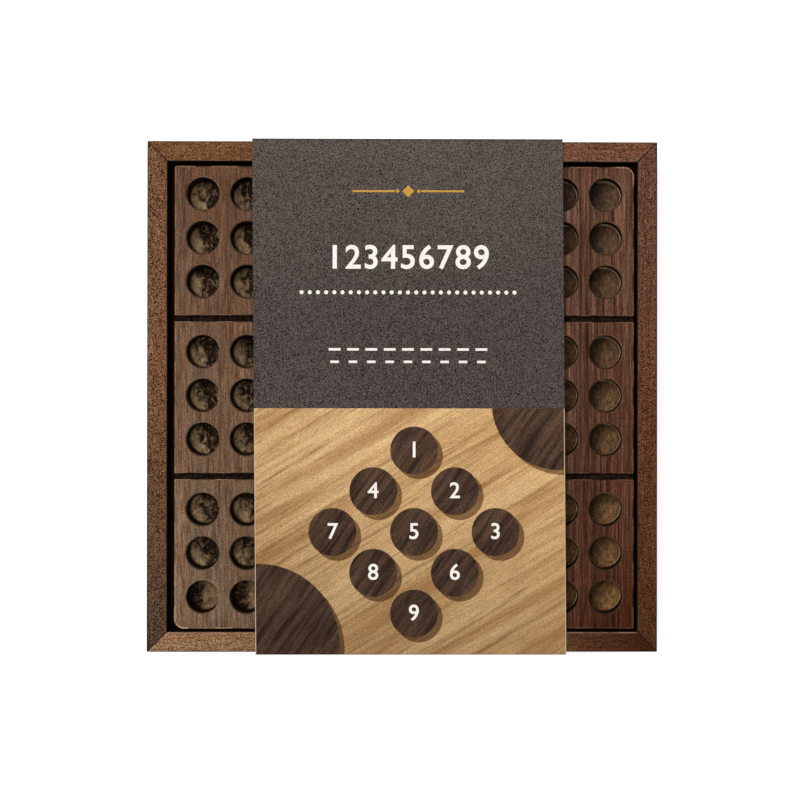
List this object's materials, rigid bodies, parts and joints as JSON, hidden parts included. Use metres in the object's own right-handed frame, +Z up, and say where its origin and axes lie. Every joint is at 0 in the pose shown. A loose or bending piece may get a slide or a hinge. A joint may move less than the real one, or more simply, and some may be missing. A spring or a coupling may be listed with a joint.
{
  "type": "sudoku board",
  "caption": "Square wooden sudoku box with a lift-out plank of blind peg holes in nine blocks, loose numbered pegs in the tray below, and a sliding card belly band.",
  "frame": {"origin": "middle of the underside of the box in its card sleeve", "axes": "+Z up, +Y to the back rail with a finger notch, +X to the right rail; the card sleeve is open towards +X and -X"},
  "size_m": [0.156, 0.1576, 0.0283],
  "materials": {
    "stained_frame": "dark brown stain, satin",
    "stained_plank": "dark brown stain, satin",
    "ledge_wood": "thin brown stain",
    "plywood": "thin brown stain on plywood",
    "peg_wood": "brown stain with a plain figure on one end",
    "steel": "plain wire",
    "cover_paper": "uncoated, printed",
    "page_paper": "uncoated",
    "sleeve_card": "uncoated, printed"
  },
  "bodies": {
    "box": {"rail_front": "stained_frame", "rail_right": "stained_frame", "rail_back": "stained_frame", "rail_left": "stained_frame", "base_panel": "plywood", "base_brads": "steel", "ledge_front": "ledge_wood", "ledge_right": "ledge_wood", "ledge_back": "ledge_wood", "ledge_left": "ledge_wood", "pegs_1": "peg_wood", "pegs_2": "peg_wood", "pegs_3": "peg_wood", "pegs_4": "peg_wood", "pegs_5": "peg_wood", "pegs_6": "peg_wood", "pegs_7": "peg_wood", "pegs_8": "peg_wood", "pegs_9": "peg_wood", "guide_cover": "cover_paper", "guide_pages": "page_paper", "guide_staples": "steel"},
    "board": {"peg_board": "stained_plank"},
    "sleeve": {"card_sleeve": "sleeve_card"}
  },
  "joints": [
    {"name": "sleeve_slide", "type": "slide", "parent": "box", "child": "sleeve", "axis": [1, 0, 0], "range_m": [-0.14, 0.14]},
    {"name": "board_lift", "type": "slide", "parent": "box", "child": "board", "axis": [0, 0, 1], "range_m": [0, 0.0016]}
  ]
}
